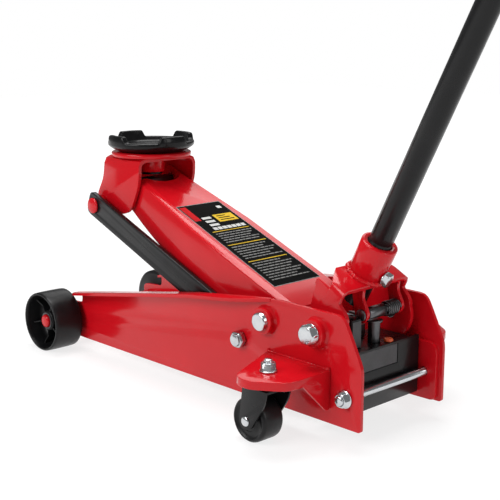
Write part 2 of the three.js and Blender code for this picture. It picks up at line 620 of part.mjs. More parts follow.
// A channel open downwards, with a round-ended cheek on each side that turns on a yoke bolt,
// and two lugs below its web that carry the roller pin.
function handleYoke() {
  const inner = YOKE_OUT - YOKE_SHEET;
  const section = (back, half, top, bend) => [
    [-half, top - WALL], [half, top - WALL], [half, top - bend], [half - bend * 0.3, top - bend * 0.3],
    [half - bend, top], [-half + bend, top], [-half + bend * 0.3, top - bend * 0.3],
    [-half, top - bend],
  ].map(([y, up]) => withY(onHandle(back, up), y));
  const channel = (half, top, bend, back) =>
    sweptSections(back.map((at) => section(at, half, top, bend)));
  const web = cut(channel(YOKE_OUT, 0, 10, [22, -22]), channel(inner, -YOKE_SHEET, 5, [40, -40]));
  const sheet = (corners, y) => upright(corners.map(([back, up, r]) => [...onHandle(back, up), r]), y);
  const cheek = (side) => {
    const y = [side * inner, side * YOKE_OUT];
    const corners = [
      [-21.7, -11], [21.7, -11], [21.4, -18.5, 6], [44, -27, 10], [46, -50, 10], [-12, -66, 12],
    ];
    return join(sheet(corners, y), crossRod(YOKE_ROUND, YOKE_PIVOT, y, 28));
  };
  const lug = (y) => sheet([
    [0, -4], [21, -4], [24, -16, 6], [44, -30, 7], [42, -45, 7], [28, -45, 8], [8, -20, 8],
  ], y);
  const slantedCorner = (side) => {
    const corners = [[26, -30], [68, 4], [68, -30]];
    const prism = (up) => corners.map(([y, back]) => withY(onHandle(back, up), side * y));
    return sweptSections([prism(-YOKE_SHEET - 6), prism(6)]);
  };
  const bore = rod(HANDLE_R + 1, withY(onHandle(0, -20)), withY(onHandle(0, 20)));
  const slanted = cut(web, slantedCorner(LEFT), slantedCorner(RIGHT));
  return cut(join(slanted, cheek(LEFT), cheek(RIGHT), lug(LEFT_LUG), lug(RIGHT_LUG)), bore,
    crossRod(LINK_PIN_R + GAP, YOKE_PIVOT, [-80, 80]),
    crossRod(ROLLER_PIN_R + GAP, ROLLER, [LEFT_LUG[0] - 2, RIGHT_LUG[1] + 2]));
}

const handleOrigin = withY(SLEEVE_BASE);
const handleAxis = [HANDLE_UP[0], 0, HANDLE_UP[1]];

function handleSleeve() {
  const tube = turned([
    [HANDLE_R + 0.5, GAP], [SLEEVE_R, GAP],
    [SLEEVE_R, SLEEVE_LENGTH - 1.5], [SLEEVE_R - 1.5, SLEEVE_LENGTH], [HANDLE_R + 1.5, SLEEVE_LENGTH],
    [HANDLE_R + 0.5, SLEEVE_LENGTH - 1.5],
  ], handleOrigin, handleAxis, 24);
  return cut(tube, rod(CLAMP_R + GAP, onClampBolt(8), onClampBolt(40)));
}

part('handle_yoke', handleYoke(), redPaint);
part('handle_sleeve', handleSleeve(), redPaint);
part('clamp_bolt', join(
  rod(CLAMP_R, onClampBolt(HANDLE_R + GAP), onClampBolt(SLEEVE_R + 2)),
  rod(9.6, onClampBolt(SLEEVE_R + GAP), onClampBolt(SLEEVE_R + 2)),
  hexagon(17, onClampBolt(SLEEVE_R + 1.8), onClampBolt(SLEEVE_R + 9)),
), zinc);
part('roller_pin', crossTurned([
  [0, LEFT_LUG[0] - 3], [7.5, LEFT_LUG[0] - 3], [7.5, LEFT_LUG[0] - GAP],
  [ROLLER_PIN_R, LEFT_LUG[0] - GAP], [ROLLER_PIN_R, RIGHT_LUG[1] + GAP], [7.5, RIGHT_LUG[1] + GAP],
  [7.5, RIGHT_LUG[1] + 3], [0, RIGHT_LUG[1] + 3],
], ROLLER, RIGHT), steel);
part('pump_roller', crossTurned(
  ring(ROLLER_PIN_R + GAP, ROLLER_R, [-ROLLER_HALF_WIDTH, ROLLER_HALF_WIDTH]), ROLLER, RIGHT, 16), steel);

// The return spring: a coil around the roller pin, between the roller and the right lug.
class Coil extends THREE.Curve {
  getPoint(t) {
    const turns = 5;
    const radius = 8.2;
    const angle = t * turns * 2 * Math.PI;
    return new THREE.Vector3(
      ROLLER[0] + radius * Math.cos(angle), 20 + 21.6 * t, ROLLER[1] - radius * Math.sin(angle));
  }
}
const wire = outline([[-1.6, 0], [-0.8, 1.4], [0.8, 1.4], [1.6, 0], [0.8, -1.4], [-0.8, -1.4]]);
const coil = new THREE.ExtrudeGeometry(wire, {
  steps: 50, curveSegments: 1, bevelEnabled: false, extrudePath: new Coil() });
part('return_spring', solid(coil), blackIron);

part('handle_lower', turned([
  [0, HANDLE_BOTTOM - 6], [7, HANDLE_BOTTOM - 6], [7, HANDLE_BOTTOM], [HANDLE_R, HANDLE_BOTTOM],
  [HANDLE_R, HANDLE_JOINT - 1.5],
  [HANDLE_R - 1, HANDLE_JOINT], [HANDLE_BORE_R, HANDLE_JOINT], [HANDLE_BORE_R, HANDLE_BOTTOM + 14],
  [0, HANDLE_BOTTOM + 14],
], handleOrigin, handleAxis), blackPaint);
part('handle_upper', turned([
  [9.5, HANDLE_JOINT - 60], [HANDLE_BORE_R - GAP, HANDLE_JOINT - 60],
  [HANDLE_BORE_R - GAP, HANDLE_JOINT + GAP],
  [HANDLE_R, HANDLE_JOINT + 1.5], [HANDLE_R, HANDLE_TOP], [HANDLE_BORE_R, HANDLE_TOP],
  [HANDLE_BORE_R, HANDLE_JOINT + 20], [9.5, HANDLE_JOINT + 15],
], handleOrigin, handleAxis), blackPaint);
part('handle_grip', turned([
  [HANDLE_R + GAP, HANDLE_TOP - GRIP_LENGTH], [18, HANDLE_TOP - GRIP_LENGTH],
  [19, HANDLE_TOP - GRIP_LENGTH + 3],
  [19, HANDLE_TOP - 3], [18, HANDLE_TOP], [HANDLE_R + GAP, HANDLE_TOP],
], handleOrigin, handleAxis), blackRubber);
part('handle_cap', turned([
  [0, HANDLE_TOP - 20], [HANDLE_BORE_R - GAP, HANDLE_TOP - 20], [HANDLE_BORE_R - GAP, HANDLE_TOP + GAP],
  [17.5, HANDLE_TOP + GAP], [17.5, HANDLE_TOP + 3], [15, HANDLE_TOP + 5], [0, HANDLE_TOP + 6],
], handleOrigin, handleAxis), blackPlastic);

// ---------------------------------------------------------------- casters

const SKIRT_BOTTOM = SHELF_TOP - 11;

function shelfCorners(side, inset) {
  const inner = PLATE_OUT + GAP + 0.2;
  return [
    [458 + inset * 1.4, inner - inset * 3, 0], [499 + inset, 177 - inset, 8], [511, 184 - inset, 8],
    [529, 184 - inset, 8], [568 - inset, 156 - inset * 0.5, 14], [568 - inset, inner - inset * 3, 0],
  ].map(([x, y, r]) => [x, side * y, r]);
}

function casterBracket(side) {
  const shell = cut(level(shelfCorners(side, 0), [SKIRT_BOTTOM, SHELF_TOP]),
    level(shelfCorners(side, SHEET_SHELF), [SKIRT_BOTTOM - 5, SHELF_TOP - SHEET_SHELF]));
  const gussetSide = (x, reach) => {
    const depth = SHEET_SHELF;
    const geometry = extruded([
      [side * (PLATE_OUT + GAP + 0.2), SKIRT_BOTTOM + 4], [side * (PLATE_OUT + GAP + 0.2), 42, 4],
      [side * (PLATE_OUT + 8), 42, 4], [side * reach, SKIRT_BOTTOM - 0.5, 4],
      [side * reach, SKIRT_BOTTOM + 4],
    ], depth);
    geometry.rotateX(Math.PI / 2);
    geometry.rotateZ(Math.PI / 2);
    geometry.translate(x, 0, 0);
    return solid(geometry);
  };
  return cut(join(shell, gussetSide(568 - SHEET_SHELF, 130)),
    rod(6, [KINGPIN[0], side * KINGPIN[1], 80], [KINGPIN[0], side * KINGPIN[1], 100]));
}

function casterFork(side) {
  const [x, offset] = KINGPIN;
  const y = side * offset;
  const axleX = x - CASTER_TRAIL;
  const top = level([
    [x - 23, y - CHEEK_OUT, 5], [x + 19, y - CHEEK_OUT, 5],
    [x + 19, y + CHEEK_OUT, 5], [x - 23, y + CHEEK_OUT, 5],
  ], [72, 75]);
  const cheek = (way) => upright([
    [x - 23, 75], [axleX - 11, CASTER_R, 8], [axleX - 7, CASTER_R - 11, 8], [axleX + 8, CASTER_R - 10, 8],
    [x + 15, 56, 12], [x + 19, 75],
  ], [y + way * CHEEK_IN, y + way * CHEEK_OUT]);
  const race = rod(14, [x, y, 74], [x, y, SHELF_TOP - SHEET_SHELF - GAP]);
  return cut(join(top, cheek(1), cheek(-1), race),
    rod(6 + GAP, [x, y, 60], [x, y, 95]),
    crossRod(CASTER_AXLE_R + GAP, [axleX, CASTER_R], [y - 30, y + 30], 16));
}

const casterTyre = [
  [CASTER_AXLE_R + GAP, CASTER_HALF_WIDTH], [13, CASTER_HALF_WIDTH], [15, CASTER_HALF_WIDTH - 3],
  [22, CASTER_HALF_WIDTH - 3], [25, CASTER_HALF_WIDTH], [CASTER_R, CASTER_HALF_WIDTH - 3.5],
];
const casterAxle = [[0, CHEEK_OUT + 2.5], [6.5, CHEEK_OUT + 2.5], [6.5, CHEEK_OUT + GAP],
  [CASTER_AXLE_R, CHEEK_OUT + GAP]];
const bothEnds = (half) => [
  ...half.map(([r, y]) => [r, -y]), ...half.map(([r, y]) => [r, y]).reverse(),
];

for (const [word, side] of Object.entries(SIDES)) {
  const [x, offset] = KINGPIN;
  const y = side * offset;
  const axle = [x - CASTER_TRAIL, CASTER_R];
  part(`caster_bracket_${word}`, casterBracket(side), redPaint);
  part(`kingpin_${word}`, turned([
    [0, 67], [9, 67], [9, 71.5], [5.6, 71.5], [5.6, SHELF_TOP + 15],
    [4.5, SHELF_TOP + 16], [0, SHELF_TOP + 16],
  ], [x, y, 0], [0, 0, 1], 20), zinc);
  part(`kingpin_nut_${word}`, cut(join(
    rod(11, [x, y, SHELF_TOP + GAP], [x, y, SHELF_TOP + 2]),
    hexagon(17, [x, y, SHELF_TOP + 1.5], [x, y, SHELF_TOP + 12]),
  ), rod(6, [x, y, 80], [x, y, 120])), zinc);
  part(`caster_fork_${word}`, casterFork(side), blackPaint);
  part(`caster_axle_${word}`, turned(bothEnds(casterAxle), [axle[0], y, axle[1]], [0, 1, 0], 16), zinc);
  part(`caster_wheel_${word}`,
    turned(bothEnds(casterTyre), [axle[0], y, axle[1]], [0, 1, 0], 26), blackPlastic);
}

// ---------------------------------------------------------------- origin

const MIDDLE_X = 499.5;                 // half-way from the front wheels to the handle's cap
jack.position.x = -MIDDLE_X;
jack.updateMatrixWorld(true);

export default jack;
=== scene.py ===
"""The looks of a red trolley jack with its saddle half raised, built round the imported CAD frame."""

import json
import math

import bmesh
import bpy
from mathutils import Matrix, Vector


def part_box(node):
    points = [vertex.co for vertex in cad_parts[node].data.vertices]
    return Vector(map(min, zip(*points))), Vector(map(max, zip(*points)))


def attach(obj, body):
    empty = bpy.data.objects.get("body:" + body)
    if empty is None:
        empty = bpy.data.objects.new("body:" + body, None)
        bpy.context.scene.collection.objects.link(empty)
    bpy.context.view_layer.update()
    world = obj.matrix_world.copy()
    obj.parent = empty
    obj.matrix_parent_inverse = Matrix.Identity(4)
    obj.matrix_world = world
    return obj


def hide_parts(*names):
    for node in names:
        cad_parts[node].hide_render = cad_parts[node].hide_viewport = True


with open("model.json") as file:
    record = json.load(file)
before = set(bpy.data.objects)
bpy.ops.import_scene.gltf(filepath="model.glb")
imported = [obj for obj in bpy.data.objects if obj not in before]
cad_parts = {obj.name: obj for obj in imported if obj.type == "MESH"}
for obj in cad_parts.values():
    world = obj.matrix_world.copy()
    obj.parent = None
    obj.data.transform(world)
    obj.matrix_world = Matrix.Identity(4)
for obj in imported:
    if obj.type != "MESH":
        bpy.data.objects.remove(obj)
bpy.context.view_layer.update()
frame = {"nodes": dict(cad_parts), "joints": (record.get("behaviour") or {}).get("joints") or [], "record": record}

MM = 0.001
SLOT = {row["node"]: row["material_slot"] for row in frame["record"]["subparts"]}
BODY = {
    node: body
    for body, nodes in frame["record"]["behaviour"]["bodies"].items()
    for node in nodes
}
JOINT = {joint["name"]: joint for joint in frame["joints"]}
SIDES = {"left": -1, "right": 1}
X, Y, Z = Vector((1, 0, 0)), Vector((0, 1, 0)), Vector((0, 0, 1))

# Sizes in mm. Places across the jack are measured outwards from its middle plane.
GAP = 0.3
PLATE_IN, PLATE_OUT = 77.7, 82.7
LINK_IN, LINK_OUT = 64, 72
BRACKET_OUT = 55
YOKE_OUT = 65
AXLE_R = 10
HUB_FACE = 126
BOLT_R = 8
SADDLE_PLATE_TOP = 318
CUP_FLOOR = 325
TUBE_R, TUBE_BORE_R = 15.5, 12.5
SLEEVE_R, SLEEVE_BORE_R = 24, 16


def middle(node):
    low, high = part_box(node)
    return (low + high) / 2


def size(node):
    low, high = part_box(node)
    return high - low


def upright_span(node):
    """Lowest and highest point of a CAD node, in mm."""
    low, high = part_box(node)
    return low.z / MM, high.z / MM


def cross_span(node):
    """Nearest and farthest point of a CAD node from the middle plane, in mm."""
    low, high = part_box(node)
    return sorted((abs(low.y) / MM, abs(high.y) / MM))


# ---------------------------------------------------------------- materials


class Shader:
    """A node-based material, with short calls for the few kinds of node used here."""

    def __init__(self, name, **sockets):
        self.material = bpy.data.materials.new(name)
        self.material.use_nodes = True
        self.tree = self.material.node_tree
        self.surface = self.tree.nodes["Principled BSDF"]
        for socket, value in sockets.items():
            self.surface.inputs[socket.replace("_", " ")].default_value = value
        self.place = self.node("ShaderNodeTexCoord").outputs["Object"]

    def node(self, kind, **settings):
        made = self.tree.nodes.new(kind)
        for name, value in settings.items():
            setattr(made, name, value)
        return made

    def join(self, out, into):
        self.tree.links.new(out, into)

    def noise(self, scale, detail=4.0, roughness=0.6, stretch=None):
        texture = self.node("ShaderNodeTexNoise")
        texture.inputs["Scale"].default_value = scale
        texture.inputs["Detail"].default_value = detail
        texture.inputs["Roughness"].default_value = roughness
        if stretch:
            mapping = self.node("ShaderNodeMapping")
            mapping.inputs["Scale"].default_value = stretch
            self.join(self.place, mapping.inputs["Vector"])
            self.join(mapping.outputs["Vector"], texture.inputs["Vector"])
        else:
            self.join(self.place, texture.inputs["Vector"])
        return texture.outputs["Fac"]

    def ramp(self, value, stops):
        ramp = self.node("ShaderNodeValToRGB")
        elements = ramp.color_ramp.elements
        while len(elements) < len(stops):
            elements.new(0.5)
        for element, (position, color) in zip(elements, stops):
            element.position = position
            element.color = (*color, 1.0) if len(color) == 3 else (color[0],) * 3 + (1.0,)
        self.join(value, ramp.inputs["Fac"])
        return ramp.outputs["Color"]

    def color(self, value, stops):
        self.join(self.ramp(value, stops), self.surface.inputs["Base Color"])

    def roughness(self, value, low, high):
        spread = self.node("ShaderNodeMapRange")
        spread.inputs["From Min"].default_value = 0.3
        spread.inputs["From Max"].default_value = 0.7
        spread.inputs["To Min"].default_value = low
        spread.inputs["To Max"].default_value = high
        self.join(value, spread.inputs["Value"])
        self.join(spread.outputs["Result"], self.surface.inputs["Roughness"])

    def bump(self, value, strength, distance):
        bump = self.node("ShaderNodeBump")
        bump.inputs["Strength"].default_value = strength
        bump.inputs["Distance"].default_value = distance
        self.join(value, bump.inputs["Height"])
        if self.surface.inputs["Normal"].is_linked:
            earlier = self.surface.inputs["Normal"].links[0].from_socket
            self.join(earlier, bump.inputs["Normal"])
        self.join(bump.outputs["Normal"], self.surface.inputs["Normal"])


def red_paint():
    paint = Shader("red_paint", Specular_IOR_Level=0.22, Coat_Weight=0.16, Coat_Roughness=0.06)
    paint.color(paint.noise(9, 3), [(0.3, (0.50, 0.004, 0.009)), (0.7, (0.56, 0.005, 0.011))])
    paint.roughness(paint.noise(30, 5), 0.13, 0.2)
    paint.bump(paint.noise(220, 2), 0.02, 0.0004)
    paint.bump(paint.noise(16, 2), 0.09, 0.0008)
    return paint.material


def black_paint():
    paint = Shader("black_paint", Specular_IOR_Level=0.2, Coat_Weight=0.12, Coat_Roughness=0.08)
    paint.color(paint.noise(14, 3), [(0.3, (0.003, 0.003, 0.0035)), (0.7, (0.007, 0.007, 0.0075))])
    paint.roughness(paint.noise(40, 5), 0.24, 0.36)
    paint.bump(paint.noise(300, 2), 0.06, 0.0005)
    return paint.material


def black_iron():
    iron = Shader("black_iron", Specular_IOR_Level=0.14, Coat_Weight=0.2, Coat_Roughness=0.07)
    iron.color(iron.noise(60, 6), [(0.35, (0.002, 0.002, 0.0025)), (0.75, (0.005, 0.005, 0.0055))])
    iron.roughness(iron.noise(90, 6), 0.26, 0.42)
    iron.bump(iron.noise(320, 4), 0.22, 0.0005)
    iron.bump(iron.noise(90, 3), 0.2, 0.0008)
    return iron.material


def zinc():
    plating = Shader("zinc", Metallic=1.0)
    plating.color(plating.noise(40, 4), [
        (0.3, (0.52, 0.54, 0.56)), (0.55, (0.60, 0.62, 0.64)), (0.8, (0.66, 0.67, 0.67))])
    plating.roughness(plating.noise(60, 4), 0.17, 0.26)
    plating.bump(plating.noise(300, 2), 0.03, 0.0002)
    return plating.material


def steel():
    bare = Shader("steel", Metallic=1.0)
    bare.color(bare.noise(50, 6), [(0.3, (0.07, 0.07, 0.074)), (0.7, (0.16, 0.16, 0.165))])
    bare.roughness(bare.noise(240, 5, stretch=(1, 0.05, 1)), 0.26, 0.44)
    bare.bump(bare.noise(900, 3, stretch=(1, 0.04, 1)), 0.15, 0.0002)
    return bare.material


def black_plastic():
    nylon = Shader("black_plastic", Specular_IOR_Level=0.25)
    nylon.color(nylon.noise(40, 5), [(0.3, (0.004, 0.004, 0.0045)), (0.75, (0.009, 0.009, 0.0095))])
    nylon.roughness(nylon.noise(120, 5), 0.28, 0.44)
    nylon.bump(nylon.noise(1100, 4), 0.18, 0.0003)
    return nylon.material


def black_rubber():
    foam = Shader("black_rubber")
    foam.color(foam.noise(80, 6), [(0.3, (0.012, 0.012, 0.012)), (0.75, (0.028, 0.028, 0.028))])
    foam.roughness(foam.noise(300, 5), 0.7, 0.9)
    foam.bump(foam.noise(1500, 5), 0.5, 0.0006)
    return foam.material


def orange_plastic():
    plug = Shader("orange_plastic", Subsurface_Weight=0.1)
    plug.color(plug.noise(60, 4), [(0.3, (0.50, 0.06, 0.015)), (0.7, (0.66, 0.10, 0.025))])
    plug.roughness(plug.noise(200, 4), 0.4, 0.55)
    plug.bump(plug.noise(900, 3), 0.15, 0.0003)
    return plug.material


def printed(name, low, high):
    """Ink on the vinyl label: two close shades of one colour."""
    ink = Shader(name, IOR=1.06)
    ink.color(ink.noise(220, 4), [(0.35, low), (0.7, high)])
    ink.roughness(ink.noise(300, 4), 0.4, 0.5)
    ink.bump(ink.noise(900, 2), 0.06, 0.0002)
    return ink.material


def matte_gray():
    plate = Shader("recess_gray")
    plate.color(plate.noise(45, 5), [(0.3, (0.042, 0.042, 0.044)), (0.7, (0.058, 0.058, 0.062))])
    plate.roughness(plate.noise(150, 5), 0.5, 0.65)
    plate.bump(plate.noise(600, 4), 0.25, 0.0004)
    return plate.material


MATERIAL = {
    "red_paint": red_paint(),
    "black_paint": black_paint(),
    "black_iron": black_iron(),
    "zinc": zinc(),
    "steel": steel(),
    "black_plastic": black_plastic(),
    "black_rubber": black_rubber(),
    "orange_plastic": orange_plastic(),
}
INK_BLACK = printed("label_black", (0.002, 0.002, 0.002), (0.004, 0.004, 0.004))
INK_WHITE = printed("label_white", (0.55, 0.55, 0.54), (0.66, 0.66, 0.64))
INK_GRAY = printed("label_gray", (0.20, 0.20, 0.20), (0.27, 0.27, 0.26))
INK_YELLOW = printed("label_yellow", (0.62, 0.40, 0.03), (0.74, 0.50, 0.05))
INK_RED = printed("label_red", (0.45, 0.012, 0.015), (0.56, 0.016, 0.02))
RECESS_GRAY = matte_gray()


# ---------------------------------------------------------------- mesh making


def shown(name, verts, faces, *materials, face_slots=()):
    """A smooth-shaded object from vertices and faces, with its normals outwards."""
    mesh = bpy.data.meshes.new(name)
    mesh.from_pydata([tuple(v) for v in verts], [], faces)
    work = bmesh.new()
    work.from_mesh(mesh)
    bmesh.ops.recalc_face_normals(work, faces=work.faces)
    work.to_mesh(mesh)
    work.free()
    mesh.shade_smooth()
    for material in materials:
        mesh.materials.append(material)
    if face_slots:
        mesh.polygons.foreach_set("material_index", face_slots)
    piece = bpy.data.objects.new(name, mesh)
    bpy.context.scene.collection.objects.link(piece)
    return piece


def soften(piece, width, segments=2, angle=32):
    """Rounds the piece's sharp edges and keeps its flat faces flat."""
    bevel = piece.modifiers.new("edges", "BEVEL")
    bevel.width = width
    bevel.segments = segments
    bevel.limit_method = "ANGLE"
    bevel.angle_limit = math.radians(angle)
    bevel.harden_normals = True
    bevel.use_clamp_overlap = True
    bevel.miter_outer = "MITER_ARC"
    return piece


def skin(rings, wrap=False):
    """Vertices and faces over a run of rings, which are closed loops of points or single points."""
    verts = [point for ring in rings for point in ring]
    starts = [sum(len(ring) for ring in rings[:i]) for i in range(len(rings))]
    faces = []
    pairs = list(range(len(rings) - 1)) + ([len(rings) - 1] if wrap else [])
    for i in pairs:
        j = (i + 1) % len(rings)
        a, b = starts[i], starts[j]
        count = max(len(rings[i]), len(rings[j]))
        for k in range(count):
            m = (k + 1) % count
            if len(rings[i]) == 1 and len(rings[j]) == 1:
                continue
            if len(rings[i]) == 1:
                faces.append((a, b + k, b + m))
            elif len(rings[j]) == 1:
                faces.append((a + k, a + m, b))
            else:
                faces.append((a + k, a + m, b + m, b + k))
    if not wrap:
        for i in (0, len(rings) - 1):
            if len(rings[i]) > 1:
                faces.append(tuple(starts[i] + k for k in range(len(rings[i]))))
    return verts, faces


def across(axis):
    """Two directions square to an axis and to each other."""
    first = axis.cross(Y) if abs(axis.dot(Y)) < 0.9 else axis.cross(X)
    first.normalize()
    return first, axis.cross(first).normalized()


def turned(name, profile, origin, axis, material, segments=72):
    """A turned piece round an axis from an origin.

    Each entry of its profile is (radius, height) in mm, or a function of the angle that gives them.
    A profile that starts off the axis closes on itself.
    """
    axis = axis.normalized()
    u, v = across(axis)
    rings = []
    for entry in profile:
        plain = not callable(entry)
        if plain and entry[0] < 1e-6:
            rings.append([origin + axis * entry[1] * MM])
            continue
        ring = []
        for k in range(segments):
            angle = 2 * math.pi * k / segments
            radius, height = entry if plain else entry(angle)
            around = u * math.cos(angle) + v * math.sin(angle)
            ring.append(origin + around * radius * MM + axis * height * MM)
        rings.append(ring)
    wrap = len(rings[0]) > 1
    return shown(name, *skin(rings, wrap), material)


def swept(name, path, radius, material, sides=12, closed=False):
    """A round bar along a path; its radius is a number or a function of the point's index."""
    rings = []
    count = len(path)
    side = None
    for i, point in enumerate(path):
        before = path[(i - 1) % count] if closed or i else point
        after = path[(i + 1) % count] if closed or i < count - 1 else point
        along = (after - before).normalized()
        side = across(along)[0] if side is None else (side - along * side.dot(along)).normalized()
        other = along.cross(side)
        r = radius(i) if callable(radius) else radius
        rings.append([
            point + (side * math.cos(a) + other * math.sin(a)) * r
            for a in (2 * math.pi * k / sides for k in range(sides))
        ])
    return shown(name, *skin(rings, closed), material)


def weld_bead(name, path, radius, node, closed=False):
    """A rippled run of weld; its radius is a function of how far along it is, from 0 to 1."""
    points_per_ripple = 6
    last = len(path) - 1

    def rippled(i):
        ripple = 0.12 * math.sin(2 * math.pi * i / points_per_ripple)
        drift = 0.08 * math.sin(0.9 * i)
        return radius(i / last) * (1 + ripple + drift)

    bead = swept(name, path, rippled, MATERIAL[SLOT[node]], sides=10, closed=closed)
    return belongs(bead, node)


def belongs(piece, node):
    """The piece rides with a CAD node's body."""
    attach(piece, BODY[node])
    return piece


def stands_for(piece, *nodes):
    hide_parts(*nodes)
    return belongs(piece, nodes[0])


def refined(node, width):
    """The CAD node's own shape with its flat faces merged and its edges rounded."""
    mesh = frame["nodes"][node].data.copy()
    mesh.name = node + "_finished"
    work = bmesh.new()
    work.from_mesh(mesh)
    bmesh.ops.remove_doubles(work, verts=work.verts, dist=1e-6)
    bmesh.ops.dissolve_limit(
        work, angle_limit=math.radians(0.6), verts=work.verts, edges=work.edges)
    bmesh.ops.recalc_face_normals(work, faces=work.faces)
    work.to_mesh(mesh)
    work.free()
    mesh.materials.clear()
    mesh.materials.append(MATERIAL[SLOT[node]])
    mesh.shade_smooth()
    piece = bpy.data.objects.new(node + "_finished", mesh)
    bpy.context.scene.collection.objects.link(piece)
    soften(piece, width, segments=3, angle=25)
    return stands_for(piece, node)


# ---------------------------------------------------------------- fasteners


def hexagon_radius(flats, angle):
    sector = (angle + math.pi / 6) % (math.pi / 3) - math.pi / 6
    return flats / 2 / math.cos(sector)


def hexagon(flats, low, high, bore=0.0, chamfer_low=False):
    """Profile of a hexagon head or nut with chamfered corners, between two heights in mm."""
    circle = flats * 0.475
    slope = 0.55
    chamfer = 0.6

    def corner(height, sign):
        return lambda angle: (
            hexagon_radius(flats, angle),
            height - sign * slope * (hexagon_radius(flats, angle) - circle),
        )

    top = [(circle - 0.4, high), corner(high, 1)]
    bottom = [corner(low, -1), (circle, low)] if chamfer_low else [
        lambda angle: (hexagon_radius(flats, angle), low)]
    if bore:
        return [(bore, low), (bore, high - chamfer), (bore + chamfer, high), *top, *bottom]
    return [(0, high), *top, *bottom, (0, low)]


def washer_nut(flats, low, high, bore, washer, thickness):
    """Profile of a nut on its washer, between two heights in mm."""
    seat = low + thickness
    return [
        *hexagon(flats, seat, high, bore), (washer - 0.3, seat), (washer, seat - 0.3), (washer, low + 0.2),
        (washer - 0.2, low), (bore, low),
    ]


def thread(radius, low, high, pitch=1.5, depth=0.55):
    """Profile of a threaded end between two heights, with its chamfered tip at the second."""
    way = 1 if high > low else -1
    points = []
    for i in range(int(abs(high - low) / pitch)):
        start = low + way * i * pitch
        points += [
            (radius - depth, start + way * 0.12 * pitch),
            (radius, start + way * 0.55 * pitch),
            (radius, start + way * 0.72 * pitch),
        ]
    return [*points, (radius - depth, high - way * 0.5), (radius - depth - 0.8, high), (0, high)]


def mirrored(half):
    """A profile that goes on below height zero as its own mirror image."""
    return half + [(radius, -height) for radius, height in reversed(half)]


def cross_piece(name, profile, node, side=1, segments=72, material=None):
    """A turned piece across the jack, with its heights outwards from the middle plane."""
    at = middle(node)
    origin = Vector((at.x, 0, at.z))
    return turned(name, profile, origin, Y * side, material or MATERIAL[SLOT[node]], segments)


def lift_shaft():
    node = "lift_shaft"
    radius = size(node).x / 2 / MM
    end = size(node).y / 2 / MM
    half = [
        (0, end - 0.3), (4, end - 0.2), (radius - 2.4, end), (radius - 0.8, end - 0.5),
        (radius, end - 1.6),
    ]
    stands_for(cross_piece("lift_shaft_finished", mirrored(half), node), node)


def tie_rod():
    node = "rear_tie_rod"
    radius = size(node).x / 2 / MM
    end = size(node).y / 2 / MM
    half = list(reversed(thread(radius, 82, end)))
    rod = cross_piece("rear_tie_rod_finished", mirrored(half), node, segments=40)
    stands_for(soften(rod, 0.0001, 1, 50), node)
    for word, side in SIDES.items():
        nut = f"tie_rod_nut_{word}"
        inner, outer = cross_span(nut)
        profile = washer_nut(17, inner, outer, radius + GAP, washer=11.5, thickness=2)
        stands_for(cross_piece(nut + "_finished", profile, nut, side), nut)


def front_axle():
    node = "front_axle"
    end = size(node).y / 2 / MM
    half = [
        (0, end), (AXLE_R - 3.2, end - 0.1), (AXLE_R - 1, end - 0.7), (AXLE_R, end - 2.2), (AXLE_R, 0.5),
    ]
    stands_for(cross_piece("front_axle_finished", mirrored(half), node), node)
    bore, rim = AXLE_R + 0.05, 13.5
    low, high = HUB_FACE + 0.4, HUB_FACE + 1.9
    ring = [
        (bore, low), (rim - 0.2, low), (rim, low + 0.2), (rim, high - 0.2), (rim - 0.2, high), (bore, high),
    ]
    for word, side in SIDES.items():
        name = f"axle_snap_ring_{word}"
        belongs(cross_piece(name, ring, node, side, material=MATERIAL["steel"]), node)


def link_bolts():
    head, shoulder = 12, 14
    for word, side in SIDES.items():
        bolt, nut = f"link_bolt_{word}", f"link_nut_{word}"
        inner, outer = cross_span(bolt)
        profile = [
            (0, inner), (head - 0.8, inner), (head, inner + 0.8), (head, LINK_IN - GAP),
            (BOLT_R, LINK_IN - GAP), (BOLT_R, LINK_OUT + GAP), (shoulder, LINK_OUT + GAP),
            (shoulder, PLATE_IN - GAP), (BOLT_R, PLATE_IN - GAP), *thread(BOLT_R, 84, outer),
        ]
        piece = cross_piece(bolt + "_finished", profile, bolt, side, 60)
        stands_for(soften(piece, 0.0001, 1, 50), bolt)
        profile = hexagon(20, *cross_span(nut), bore=BOLT_R + GAP, chamfer_low=True)
        stands_for(cross_piece(nut + "_finished", profile, nut, side), nut)


def yoke_bolts():
    washer, shoulder = 13, 14
    low, seat = 93.3, 95
    for word, side in SIDES.items():
        node = f"yoke_bolt_{word}"
        inner, outer = cross_span(node)
        profile = [
            *hexagon(23, seat, outer)[:-1], (washer - 0.4, seat), (washer, seat - 0.2), (washer, low + 0.2),
            (washer - 0.2, low), (BOLT_R, low), (BOLT_R, PLATE_IN - GAP), (shoulder, PLATE_IN - GAP),
            (shoulder, YOKE_OUT + GAP), (BOLT_R, YOKE_OUT + GAP), (BOLT_R, inner + 1), (BOLT_R - 1, inner),
            (0, inner),
        ]
        stands_for(cross_piece(node + "_finished", profile, node, side), node)


def kingpins():
    head, shank = 9, 5.6
    for word in SIDES:
        pin, nut = f"kingpin_{word}", f"kingpin_nut_{word}"
        at = middle(pin)
        origin = Vector((at.x, at.y, 0))
        bottom, top = upright_span(pin)
        profile = [
            (0, bottom), (head - 0.8, bottom), (head, bottom + 0.8), (head, bottom + 4.5),
            (shank, bottom + 4.5), *thread(shank, 92, top, pitch=1.25, depth=0.45),
        ]
        stands_for(turned(pin + "_finished", profile, origin, Z, MATERIAL["zinc"], 48), pin)
        profile = washer_nut(17, *upright_span(nut), bore=6, washer=11, thickness=1.7)
        stands_for(turned(nut + "_finished", profile, origin, Z, MATERIAL["zinc"]), nut)


# ---------------------------------------------------------------- wheels


